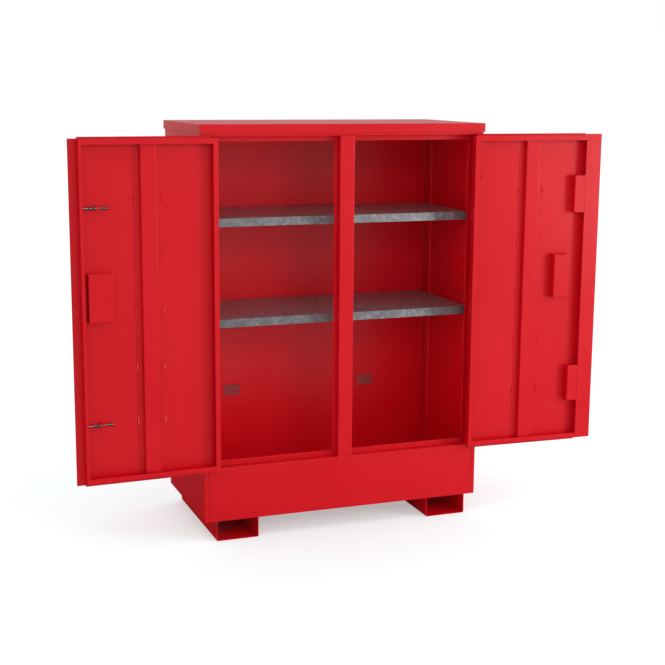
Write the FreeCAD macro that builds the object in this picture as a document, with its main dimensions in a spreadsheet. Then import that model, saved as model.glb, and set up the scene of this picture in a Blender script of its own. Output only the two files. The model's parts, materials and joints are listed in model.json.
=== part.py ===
import FreeCAD, Part
import math
import os
import re
import Sketcher

# Flammable safety cabinet of welded folded sheet steel, doors standing open.
# Origin at floor level in the middle of the body's footprint, +X to the right, +Z up, front at -Y.

doc = FreeCAD.newDocument("safety_cabinet")

# Driving dimensions, in millimetres, with angles in degrees.
SIZES = {
    "lid_width": 1200,
    "lid_depth": 585,
    "lid_front_overhang": 5,
    "lid_skirt": 35,
    "overall_height": 1650,
    "body_width": 1190,
    "body_depth": 570,
    "sheet": 1.5,
    "bend": 2,
    "skid_height": 82,
    "skid_width": 175,
    "skid_inset": 48,
    "skid_sheet": 3,
    "sill_top": 303,
    "rail_drop": 47,
    "rail_lip": 20,
    "jamb_face": 20,
    "jamb_lip": 30,
    "rebate_depth": 37,
    "mullion_width": 62,
    "mullion_lip": 10,
    "back_flange": 20,
    "door_gap": 3,
    "door_depth": 34.5,
    "skin_top_lap": 5,
    "skin_bottom_lap": 13,
    "left_box_setback": 43,
    "right_box_setback": 57,
    "left_skin_setback": 10,
    "right_skin_setback": 14,
    "skin_notch": 6,
    "hook_hole_radius": 2.5,
    "hook_hole_drop": 17,
    "hook_hole_start": 48,
    "hook_hole_setback": 54,
    "hinge_notch": 3,
    "door_top_lip": 20,
    "door_bottom_lip": 19,
    "door_hinge_lip": 20,
    "left_free_lip": 12,
    "right_free_lip": 10,
    "left_open_angle": 178,
    "right_open_angle": 178,
    "strip_reach": 21,
    "strip_end_gap": 3,
    "stiffener_width": 106,
    "stiffener_foot": 22,
    "stiffener_depth": 20,
    "stiffener_start": 198,
    "left_pull_width": 92,
    "right_pull_width": 68,
    "pull_height": 184,
    "pull_offset": 62,
    "left_pull_setback": 25,
    "right_pull_setback": 73,
    "pull_side_margin": 12,
    "pull_grip_margin": 28,
    "pull_end_margin": 22,
    "barrel_radius": 4.2,
    "barrel_clearance": 0.3,
    "pivot_inset": 19,
    "hinge_height": 60,
    "hinge_knuckle": 20,
    "hinge_play": 0.3,
    "hinge_drop": 158,
    "hinge_rise": 148,
    "leaf_sheet": 2.5,
    "leaf_standoff": 1.5,
    "frame_leaf_reach": 34,
    "packer_start": 20,
    "door_leaf_reach": 34,
    "pin_radius": 2,
    "running_clearance": 0.05,
    "pin_head_radius": 3.4,
    "pin_head_height": 1.5,
    "rivet_setback": 24,
    "rivet_pitch": 31,
    "rivet_radius": 2.4,
    "rivet_head_radius": 4.5,
    "rivet_head_height": 1.6,
    "rivet_facets": 12,
    "rod_radius": 5,
    "rod_length": 101,
    "rod_tip_setback": 10,
    "rod_depth": 13,
    "rod_drop": 255,
    "rod_rise": 225,
    "knob_radius": 3,
    "knob_height": 13,
    "knob_setback": 42,
    "bracket_length": 66,
    "bracket_height": 34,
    "bracket_sheet": 2,
    "guide_width": 8,
    "keeper_width": 14,
    "keeper_height": 22,
    "lock_width": 47,
    "lock_height": 155,
    "lock_drop": 245,
    "lock_rise": 245,
    "deadbolt_height": 30,
    "deadbolt_thickness": 10,
    "deadbolt_length": 50,
    "deadbolt_tip_setback": 4,
    "deadbolt_depth": 16,
    "slot_clearance": 1,
    "cylinder_radius": 8.5,
    "cylinder_setback": 23.5,
    "cylinder_proud": 2.5,
    "cam_radius": 5,
    "cam_reach": 11,
    "cam_sheet": 3,
    "keyway_width": 2,
    "keyway_height": 9,
    "keyway_depth": 6,
    "upright_width": 30,
    "upright_depth": 12,
    "front_upright_setback": 130,
    "rear_upright_setback": 80,
    "upright_slot_pitch": 50,
    "upright_slot_width": 4,
    "upright_slot_height": 24,
    "upright_slot_start": 66,
    "upright_top_gap": 45,
    "shelf_sheet": 1.2,
    "shelf_lip": 33,
    "shelf_depth": 468,
    "shelf_setback": 50,
    "shelf_side_gap": 2.5,
    "upper_shelf_top": 1283,
    "lower_shelf_top": 883,
    "clip_width": 24,
    "clip_reach": 18,
    "clip_drop": 14,
    "clip_sheet": 2,
    "clip_face_gap": 0.2,
    "vent_width": 72,
    "vent_height": 48,
    "vent_border": 10,
    "vent_setback": 280,
    "low_vent_rise": 177,
    "high_vent_drop": 65,
    "louvre_pitch": 8,
    "louvre_gap": 4.5,
    "louvre_count": 6,
}

sheet = doc.addObject("Spreadsheet::Sheet", "Sizes")
for row, (alias, size) in enumerate(SIZES.items(), start=1):
    sheet.set("A%d" % row, alias)
    sheet.set("B%d" % row, str(size))
    sheet.setAlias("B%d" % row, alias)
doc.recompute()

# Places worked out from the driving dimensions, as expressions.
HALF_WIDTH = "(body_width / 2)"
HALF_DEPTH = "(body_depth / 2)"
FRONT = "(-body_depth / 2)"
BODY_TOP = "(overall_height - sheet)"
RAIL_BOTTOM = "(overall_height - rail_drop)"
STOP_FACE = "(-body_depth / 2 + rebate_depth)"
JAMB = "(body_width / 2 - jamb_face)"
JAMB_LIP_EDGE = "(body_width / 2 - jamb_face - jamb_lip)"
MULLION = "(mullion_width / 2)"
INNER_SIDE = "(body_width / 2 - sheet)"
PIVOT_X = "(body_width / 2 - jamb_face - pivot_inset)"
PIVOT_Y = "(-body_depth / 2 - barrel_radius - 2 * barrel_clearance - sheet)"
DOOR_BOTTOM = "(sill_top + door_gap)"
DOOR_TOP = "(overall_height - rail_drop - door_gap)"
DOOR_HINGE_EDGE = "(door_gap - pivot_inset)"
SKIN_BOTTOM = "(sill_top - skin_bottom_lap)"
SKIN_TOP = "(overall_height - rail_drop + skin_top_lap)"
SKIN_FACE = "(barrel_radius + barrel_clearance)"
SKIN_BACK = "(barrel_radius + barrel_clearance + sheet)"
FRAME_FACE = "(barrel_radius + 2 * barrel_clearance + sheet)"
DOOR_BACK = "(barrel_radius + barrel_clearance + door_depth)"
HINGE_HEIGHTS = (
    "(overall_height - rail_drop - hinge_drop)",
    "((overall_height - rail_drop - hinge_drop + sill_top + hinge_rise) / 2)",
    "(sill_top + hinge_rise)",
)
HINGE_NAMES = ("top", "middle", "bottom")

ALIASES = re.compile(r"\b(%s)\b" % "|".join(sorted(SIZES, key=len, reverse=True)))


def size(expression):
    """The value of an expression of sheet aliases, in millimetres or degrees."""
    return float(sheet.evalExpression(expression))


def bound(expression):
    """The same expression, as another object of the document refers to it."""
    return ALIASES.sub(r"Sizes.\1", expression)


def mirrored(side, expression):
    """An X coordinate on the right side (side 1) or on the left side (side -1)."""
    return expression if side > 0 else "(-%s)" % expression


def rectangle(left, bottom, right, top):
    return [(left, bottom), (right, bottom), (right, top), (left, top)]


def draw_loop(sketch, corners):
    """A closed loop of straight lines with every corner bound to the sheet."""
    places = [FreeCAD.Vector(size(x), size(y), 0) for x, y in corners]
    first = sketch.GeometryCount
    count = len(places)
    for i, place in enumerate(places):
        sketch.addGeometry(Part.LineSegment(place, places[(i + 1) % count]), False)
    for i in range(count):
        following = first + (i + 1) % count
        sketch.addConstraint(Sketcher.Constraint("Coincident", first + i, 2, following, 1))
    for i, (x, y) in enumerate(corners):
        for kind, expression, start in (("DistanceX", x, places[i].x), ("DistanceY", y, places[i].y)):
            index = sketch.addConstraint(Sketcher.Constraint(kind, -1, 1, first + i, 1, start))
            sketch.setExpression("Constraints[%d]" % index, bound(expression))


def draw_circle(sketch, x, y, radius):
    centre = FreeCAD.Vector(size(x), size(y), 0)
    circle = sketch.addGeometry(Part.Circle(centre, FreeCAD.Vector(0, 0, 1), size(radius)), False)
    for kind, expression, start in (("DistanceX", x, centre.x), ("DistanceY", y, centre.y)):
        index = sketch.addConstraint(Sketcher.Constraint(kind, -1, 1, circle, 3, start))
        sketch.setExpression("Constraints[%d]" % index, bound(expression))
    index = sketch.addConstraint(Sketcher.Constraint("Radius", circle, size(radius)))
    sketch.setExpression("Constraints[%d]" % index, bound(radius))


def draw(body, plane, height, loops, circles):
    """A sketch on one of the body's own origin planes, moved along its normal."""
    sketch = body.newObject("Sketcher::SketchObject", body.Name + "_sketch")
    support = next(f for f in body.Origin.OriginFeatures if f.Role == plane + "_Plane")
    sketch.AttachmentSupport = [(support, "")]
    sketch.MapMode = "FlatFace"
    sketch.setExpression("AttachmentOffset.Base.z", bound(height))
    for corners in loops:
        draw_loop(sketch, corners)
    for x, y, radius in circles:
        draw_circle(sketch, x, y, radius)
    sketch.Visibility = False
    return sketch


def new_body(label, placement=None):
    body = doc.addObject("PartDesign::Body", label)
    body.Label = label
    if placement is not None:
        body.Placement = placement
    return body


def pad(body, plane, low, high, loops=(), circles=()):
    """Material from low to high along the plane's world axis: XY is Z, XZ is Y, YZ is X."""
    height = "(-%s)" % high if plane == "XZ" else low
    sketch = draw(body, plane, height, loops, circles)
    feature = body.newObject("PartDesign::Pad", body.Name + "_pad")
    feature.Profile = sketch
    feature.setExpression("Length", bound("%s - %s" % (high, low)))
    doc.recompute()
    return feature


def pocket(body, plane, low, high, loops=(), circles=()):
    """Material taken away from low to high, checked by volume."""
    before = body.Shape.Volume
    height = "(-%s)" % low if plane == "XZ" else high
    sketch = draw(body, plane, height, loops, circles)
    feature = body.newObject("PartDesign::Pocket", body.Name + "_pocket")
    feature.Profile = sketch
    feature.setExpression("Length", bound("%s - %s" % (high, low)))
    doc.recompute()
    if body.Shape.Volume >= before:
        raise ValueError("%s cuts nothing in %s" % (feature.Name, body.Label))
    return feature


def pattern(body, feature, axis, pitch, count):
    """Copies of a feature in a row along one of the body's axes."""
    row = body.newObject("PartDesign::LinearPattern", body.Name + "_pattern")
    row.Originals = [feature]
    direction = next(f for f in body.Origin.OriginFeatures if f.Role == axis + "_Axis")
    row.Direction = (direction, [""])
    row.setExpression("Length", bound("%s * (%s - 1)" % (pitch, count)))
    row.setExpression("Occurrences", bound(count))
    body.Tip = row
    doc.recompute()
    return row


def bend_edges(body, axis, corners, radius):
    """Round the bends that run along an axis through the given corners."""
    across = [i for i in range(3) if i != "XYZ".index(axis)]
    along = "XYZ".index(axis)
    names = []
    base = body.Tip
    for number, edge in enumerate(base.Shape.Edges, start=1):
        if len(edge.Vertexes) != 2:
            continue
        a, b = edge.Vertexes[0].Point, edge.Vertexes[1].Point
        if abs(a[along] - b[along]) < size("sheet"):
            continue
        for corner in corners:
            wanted = [size(value) for value in corner]
            if all(abs(p[i] - w) < 0.001 for p in (a, b) for i, w in zip(across, wanted)):
                names.append("Edge%d" % number)
    fillet = body.newObject("PartDesign::Fillet", body.Name + "_bend")
    fillet.Base = (base, names)
    fillet.setExpression("Radius", bound(radius))
    doc.recompute()
    return fillet


def round_rim(body, axis, level, radius):
    """Round every edge that lies in the plane at a level along an axis."""
    along = "XYZ".index(axis)
    base = body.Tip
    wanted = size(level)
    names = ["Edge%d" % number for number, edge in enumerate(base.Shape.Edges, start=1)
             if all(abs(v.Point[along] - wanted) < 0.001 for v in edge.Vertexes)]
    fillet = body.newObject("PartDesign::Fillet", body.Name + "_rim")
    fillet.Base = (base, names)
    fillet.setExpression("Radius", bound(radius))
    doc.recompute()
    return fillet


def folded(label, axis_plane, low, high, outline, outer=(), inner=(), placement=None):
    """A sheet folded to an outline and cut to length, with its bends rounded."""
    body = new_body(label, placement)
    pad(body, axis_plane, low, high, [outline])
    axis = {"XY": "Z", "XZ": "Y", "YZ": "X"}[axis_plane]
    if outer:
        bend_edges(body, axis, outer, "bend + sheet")
    if inner:
        bend_edges(body, axis, inner, "bend")
    return body


def group(label, solids, placement=None):
    """Like pieces kept under one name as separate solids."""
    piece = doc.addObject("Part::Feature", label)
    piece.Label = label
    piece.Shape = Part.makeCompound(solids)
    if placement is not None:
        piece.Placement = placement
    return piece


# Fork skids: channels of heavier sheet, open at both ends for a truck's forks.
for side, word in ((-1, "left"), (1, "right")):
    outside = mirrored(side, "(body_width / 2 - skid_inset)")
    inside = mirrored(side, "(body_width / 2 - skid_inset - skid_width)")
    wall_out = mirrored(side, "(body_width / 2 - skid_inset - skid_sheet)")
    wall_in = mirrored(side, "(body_width / 2 - skid_inset - skid_width + skid_sheet)")
    skid = new_body(word + "_skid")
    pad(skid, "XZ", FRONT, HALF_DEPTH, [[
        (outside, "0"), (outside, "skid_height"), (wall_out, "skid_height"), (wall_out, "skid_sheet"),
        (wall_in, "skid_sheet"), (wall_in, "skid_height"), (inside, "skid_height"), (inside, "0"),
    ]])
    bend_edges(skid, "Y", [(outside, "0"), (inside, "0")], "bend + skid_sheet")
    bend_edges(skid, "Y", [(wall_out, "skid_sheet"), (wall_in, "skid_sheet")], "bend")

# Spill sump: a leak-tight welded tray in the bottom of the cabinet.
TRAY_SIDE = "(body_width / 2 - 2 * sheet)"
TRAY_FRONT = "(-body_depth / 2 + sheet)"
TRAY_BACK = "(body_depth / 2 - sheet)"
TRAY_TOP = "(sill_top - sheet - bend)"
tray = new_body("sump_tray")
pad(tray, "XY", "skid_height", TRAY_TOP, [
    rectangle("(-%s)" % TRAY_SIDE, TRAY_FRONT, TRAY_SIDE, TRAY_BACK)])
bend_edges(tray, "Z", [(x, y) for x in ("(-%s)" % TRAY_SIDE, TRAY_SIDE) for y in (TRAY_FRONT, TRAY_BACK)],
           "bend + sheet")
pocket(tray, "XY", "(skid_height + sheet)", TRAY_TOP, [
    rectangle("(-%s + sheet)" % TRAY_SIDE, "(%s + sheet)" % TRAY_FRONT,
              "(%s - sheet)" % TRAY_SIDE, "(%s - sheet)" % TRAY_BACK)])

# Sill: the sump's front, folded back at the top into the ledge and stop lip of the doorways.
def edge_rail(label, end, face_end, sign):
    """A rail with its face, ledge and stop lip: sign 1 has the lip above the ledge, -1 below."""
    back = "(%s + sheet)" % STOP_FACE
    face_back = "(%s + sheet)" % FRONT
    lip_end = "(%s %s rail_lip)" % (end, "+" if sign > 0 else "-")
    ledge_back = "(%s %s sheet)" % (end, "-" if sign > 0 else "+")
    outline = [
        (FRONT, face_end), (FRONT, end), (STOP_FACE, end), (STOP_FACE, lip_end),
        (back, lip_end), (back, ledge_back), (face_back, ledge_back), (face_back, face_end),
    ]
    rail = folded(label, "YZ", "(-%s)" % JAMB, JAMB, outline,
                  outer=[(FRONT, end), (back, ledge_back)],
                  inner=[(face_back, ledge_back), (STOP_FACE, end)])
    low, high = (ledge_back, lip_end) if sign > 0 else (lip_end, ledge_back)
    before_lip = "(%s - bend)" % STOP_FACE
    past_lip = "(%s + sheet)" % STOP_FACE
    corner_cuts = [rectangle(mirrored(side, JAMB_LIP_EDGE), low, mirrored(side, JAMB), high)
                   for side in (-1, 1)]
    pocket(rail, "XZ", before_lip, past_lip, corner_cuts)
    mullion_edge = "(mullion_width / 2 + mullion_lip)"
    low, high = (end, lip_end) if sign > 0 else (lip_end, end)
    pocket(rail, "XZ", before_lip, past_lip, [
        rectangle("(-%s)" % mullion_edge, low, mullion_edge, high)])
    return rail


edge_rail("front_sill", "sill_top", "skid_height", 1)
edge_rail("top_rail", RAIL_BOTTOM, BODY_TOP, -1)

# Side panels: outer wall, jamb face, rebate and stop lip folded from one sheet.
for side, word in ((-1, "left"), (1, "right")):
    def at(x):
        return mirrored(side, x)
    lip_back = "(%s + sheet)" % STOP_FACE
    face_back = "(%s + sheet)" % FRONT
    rebate_back = "(%s + sheet)" % JAMB
    outline = [
        (at(HALF_WIDTH), HALF_DEPTH), (at(HALF_WIDTH), FRONT), (at(JAMB), FRONT), (at(JAMB), STOP_FACE),
        (at(JAMB_LIP_EDGE), STOP_FACE), (at(JAMB_LIP_EDGE), lip_back), (at(rebate_back), lip_back),
        (at(rebate_back), face_back), (at(INNER_SIDE), face_back), (at(INNER_SIDE), HALF_DEPTH),
    ]
    panel = folded(word + "_side_panel", "XY", "skid_height", BODY_TOP, outline,
                   outer=[(at(HALF_WIDTH), FRONT), (at(JAMB), FRONT), (at(rebate_back), lip_back)],
                   inner=[(at(INNER_SIDE), face_back), (at(JAMB), STOP_FACE),
                          (at(rebate_back), face_back)])
    for low, high in (("skid_height", "sill_top"), (RAIL_BOTTOM, BODY_TOP)):
        pocket(panel, "XY", low, high, [rectangle(
            at("(%s - bend)" % JAMB_LIP_EDGE), "(%s + sheet)" % FRONT,
            at(INNER_SIDE), "(%s + sheet + bend)" % STOP_FACE)])

VENT_OFFSET = "(body_width / 2 - vent_setback)"
VENT_HEIGHTS = {"low": "(sill_top + low_vent_rise)", "high": "(overall_height - high_vent_drop)"}

# Back panel: a shallow pan between the sides, pierced by low and high vents.
back_outer = "(body_width / 2 - sheet)"
back_inner = "(body_width / 2 - 2 * sheet)"
flange_front = "(body_depth / 2 - back_flange)"
back_face = "(body_depth / 2 - sheet)"
back = folded("back_panel", "XY", "skid_height", BODY_TOP, [
    ("(-%s)" % back_outer, flange_front), ("(-%s)" % back_outer, HALF_DEPTH),
    (back_outer, HALF_DEPTH), (back_outer, flange_front), (back_inner, flange_front),
    (back_inner, back_face), ("(-%s)" % back_inner, back_face), ("(-%s)" % back_inner, flange_front)],
    outer=[("(-%s)" % back_outer, HALF_DEPTH), (back_outer, HALF_DEPTH)],
    inner=[("(-%s)" % back_inner, back_face), (back_inner, back_face)])
pocket(back, "XZ", back_face, HALF_DEPTH, [
    rectangle("(%s - vent_width / 2)" % mirrored(side, VENT_OFFSET), "(%s - vent_height / 2)" % middle,
              "(%s + vent_width / 2)" % mirrored(side, VENT_OFFSET), "(%s + vent_height / 2)" % middle)
    for side in (-1, 1) for middle in VENT_HEIGHTS.values()])

# Vent plates: slotted plates welded over the openings, which carry the flame gauze.
for height_word, middle in VENT_HEIGHTS.items():
    for side, word in ((-1, "left"), (1, "right")):
        centre = mirrored(side, VENT_OFFSET)
        half = "(vent_width / 2 + vent_border)"
        vent = new_body("%s_%s_vent" % (height_word, word))
        pad(vent, "XZ", "(body_depth / 2 - 2 * sheet)", back_face, [rectangle(
            "(%s - %s)" % (centre, half), "(%s - vent_height / 2 - vent_border)" % middle,
            "(%s + %s)" % (centre, half), "(%s + vent_height / 2 + vent_border)" % middle)])
        first_slot = "(%s - louvre_pitch * (louvre_count - 1) / 2)" % middle
        slot = pocket(vent, "XZ", "(body_depth / 2 - 2 * sheet)", back_face, [rectangle(
            "(%s - vent_width / 2)" % centre, "(%s - louvre_gap / 2)" % first_slot,
            "(%s + vent_width / 2)" % centre, "(%s + louvre_gap / 2)" % first_slot)])
        pattern(vent, slot, "Z", "louvre_pitch", "louvre_count")

# Centre mullion: a hat section that both doors close against, with slots for their bolts.
web_in = "(mullion_width / 2 - sheet)"
lip_out = "(mullion_width / 2 + mullion_lip)"
face_back = "(%s + sheet)" % FRONT
lip_back = "(%s + sheet)" % STOP_FACE
mullion = folded("centre_mullion", "XY", "sill_top", RAIL_BOTTOM, [
    ("(-%s)" % lip_out, STOP_FACE), ("(-%s)" % MULLION, STOP_FACE), ("(-%s)" % MULLION, FRONT),
    (MULLION, FRONT), (MULLION, STOP_FACE), (lip_out, STOP_FACE), (lip_out, lip_back),
    (web_in, lip_back), (web_in, face_back), ("(-%s)" % web_in, face_back),
    ("(-%s)" % web_in, lip_back), ("(-%s)" % lip_out, lip_back)],
    outer=[("(-%s)" % MULLION, FRONT), (MULLION, FRONT), (web_in, lip_back), ("(-%s)" % web_in, lip_back)],
    inner=[(web_in, face_back), ("(-%s)" % web_in, face_back), (MULLION, STOP_FACE),
           ("(-%s)" % MULLION, STOP_FACE)])
ROD_AXIS = "(%s + rod_depth)" % SKIN_BACK
ROD_HEIGHTS = ("(overall_height - rail_drop - rod_drop)", "(sill_top + rod_rise)")
for height in ROD_HEIGHTS:
    pocket(mullion, "YZ", "(-%s)" % MULLION, "(-%s)" % web_in, [rectangle(
        "(%s + %s - keeper_width / 2)" % (PIVOT_Y, ROD_AXIS), "(%s - keeper_height / 2)" % height,
        "(%s + %s + keeper_width / 2)" % (PIVOT_Y, ROD_AXIS), "(%s + keeper_height / 2)" % height)])
BOLT_FRONT = "(deadbolt_depth - slot_clearance)"
BOLT_BACK = "(deadbolt_depth + deadbolt_thickness + slot_clearance)"
LOCK_HEIGHTS = ("(overall_height - rail_drop - lock_drop)", "(sill_top + lock_rise)")
for height in LOCK_HEIGHTS:
    pocket(mullion, "YZ", web_in, MULLION, [rectangle(
        "(%s + %s)" % (PIVOT_Y, BOLT_FRONT), "(%s - deadbolt_height / 2 - slot_clearance)" % height,
        "(%s + %s)" % (PIVOT_Y, BOLT_BACK), "(%s + deadbolt_height / 2 + slot_clearance)" % height)])

# Lid: a folded pan with a skirt that overhangs the body all round.
lid_front = "(-body_depth / 2 - lid_front_overhang)"
lid_back = "(-body_depth / 2 - lid_front_overhang + lid_depth)"
lid = new_body("lid")
pad(lid, "XY", "(overall_height - lid_skirt)", "overall_height", [
    rectangle("(-lid_width / 2)", lid_front, "(lid_width / 2)", lid_back)])
corners = [("(%slid_width / 2)" % sign, y) for sign in ("-", "") for y in (lid_front, lid_back)]
bend_edges(lid, "Z", corners, "bend + sheet")
round_rim(lid, "Z", "overall_height", "bend")
pocket(lid, "XY", "(overall_height - lid_skirt)", "(overall_height - sheet)", [
    rectangle("(-lid_width / 2 + sheet)", "(%s + sheet)" % lid_front,
              "(lid_width / 2 - sheet)", "(%s - sheet)" % lid_back)])

# Shelf uprights: slotted channels on the side walls.
FRONT_UPRIGHT = "(-body_depth / 2 + front_upright_setback)"
REAR_UPRIGHT = "(body_depth / 2 - rear_upright_setback)"
SLOTTED_HEIGHT = "(overall_height - sheet - upright_top_gap - sill_top - upright_slot_start)"
for side, word in ((-1, "left"), (1, "right")):
    for depth_word, centre in (("front", FRONT_UPRIGHT), ("rear", REAR_UPRIGHT)):
        def at(x):
            return mirrored(side, x)
        low, high = "(%s - upright_width / 2)" % centre, "(%s + upright_width / 2)" % centre
        face = "(%s - upright_depth)" % INNER_SIDE
        upright = folded("%s_%s_upright" % (word, depth_word), "XY", "sill_top",
                         "(%s - upright_top_gap)" % BODY_TOP, [
            (at(INNER_SIDE), low), (at(face), low), (at(face), high), (at(INNER_SIDE), high),
            (at(INNER_SIDE), "(%s - sheet)" % high), (at("(%s + sheet)" % face), "(%s - sheet)" % high),
            (at("(%s + sheet)" % face), "(%s + sheet)" % low), (at(INNER_SIDE), "(%s + sheet)" % low)],
            outer=[(at(face), low), (at(face), high)])
        slot_low = "(sill_top + upright_slot_start)"
        inner_face, outer_face = ("(%s)" % face, "(%s + sheet)" % face)
        ends = (inner_face, outer_face) if side > 0 else ("(-%s)" % outer_face, "(-%s)" % inner_face)
        slot = pocket(upright, "YZ", ends[0], ends[1], [rectangle(
            "(%s - upright_slot_width / 2)" % centre, slot_low,
            "(%s + upright_slot_width / 2)" % centre, "(%s + upright_slot_height)" % slot_low)])
        pattern(upright, slot, "Z", "upright_slot_pitch", "floor(%s / upright_slot_pitch)" % SLOTTED_HEIGHT)

# Shelves: galvanised pans, lips down, lying on their clips.
SHELF_SIDE = "(%s - upright_depth - shelf_side_gap)" % INNER_SIDE
SHELF_FRONT = "(%s + shelf_setback)" % STOP_FACE
for word in ("upper", "lower"):
    top = word + "_shelf_top"
    shelf = new_body(word + "_shelf")
    pad(shelf, "XY", "(%s - shelf_lip)" % top, top, [rectangle(
        "(-%s)" % SHELF_SIDE, SHELF_FRONT, SHELF_SIDE, "(%s + shelf_depth)" % SHELF_FRONT)])
    pocket(shelf, "XY", "(%s - shelf_lip)" % top, "(%s - shelf_sheet)" % top, [rectangle(
        "(-%s + shelf_sheet)" % SHELF_SIDE, "(%s + shelf_sheet)" % SHELF_FRONT,
        "(%s - shelf_sheet)" % SHELF_SIDE, "(%s + shelf_depth - shelf_sheet)" % SHELF_FRONT)])

# Shelf clips: four folded brackets to a shelf, hung on the uprights.
clip_sheet = size("clip_sheet")
clip_width = size("clip_width")
clip_face = size(INNER_SIDE) - size("upright_depth") - size("clip_face_gap")
for word in ("upper", "lower"):
    seat = size(word + "_shelf_top") - size("shelf_lip")
    clips = []
    for side in (-1, 1):
        for centre in (size(FRONT_UPRIGHT), size(REAR_UPRIGHT)):
            tab = Part.makeBox(size("clip_reach"), clip_width, clip_sheet)
            tab.translate(FreeCAD.Vector(clip_face - size("clip_reach"), centre - clip_width / 2,
                                         seat - clip_sheet))
            plate = Part.makeBox(clip_sheet, clip_width, size("clip_drop"))
            plate.translate(FreeCAD.Vector(clip_face - clip_sheet, centre - clip_width / 2,
                                           seat - size("clip_drop")))
            clip = tab.fuse(plate).removeSplitter()
            if side < 0:
                clip = clip.mirror(FreeCAD.Vector(), FreeCAD.Vector(1, 0, 0))
            clips.append(clip)
    group(word + "_shelf_clips", clips)

# Doors: each is built in a frame whose Z axis is its hinge line, closed, and then swung open.
def door_frame(side):
    angle = size("left_open_angle") * -1 if side < 0 else size("right_open_angle")
    pivot = FreeCAD.Vector(side * size(PIVOT_X), size(PIVOT_Y), 0)
    return FreeCAD.Placement(pivot, FreeCAD.Rotation(FreeCAD.Vector(0, 0, 1), angle))


# A rivet's stretches along its axis, each with the radius it starts and ends with: head, shank, head.
LEAF_FACE = "(%s - leaf_sheet)" % SKIN_FACE
RIVET_STRETCHES = (
    ("(%s - rivet_head_height)" % LEAF_FACE, LEAF_FACE, "rivet_radius", "rivet_head_radius"),
    (LEAF_FACE, SKIN_BACK, "rivet_radius", "rivet_radius"),
    (SKIN_BACK, "(%s + rivet_head_height)" % SKIN_BACK, "rivet_head_radius", "rivet_radius"),
)


def faceted_rim(x, y, z, radius):
    """A closed ring of short straight sides round the Y direction."""
    steps = range(SIZES["rivet_facets"] + 1)
    turn = 2 * math.pi / SIZES["rivet_facets"]
    return Part.makePolygon([FreeCAD.Vector(x + radius * math.cos(turn * i), y, z + radius * math.sin(turn * i))
                             for i in steps])


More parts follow.
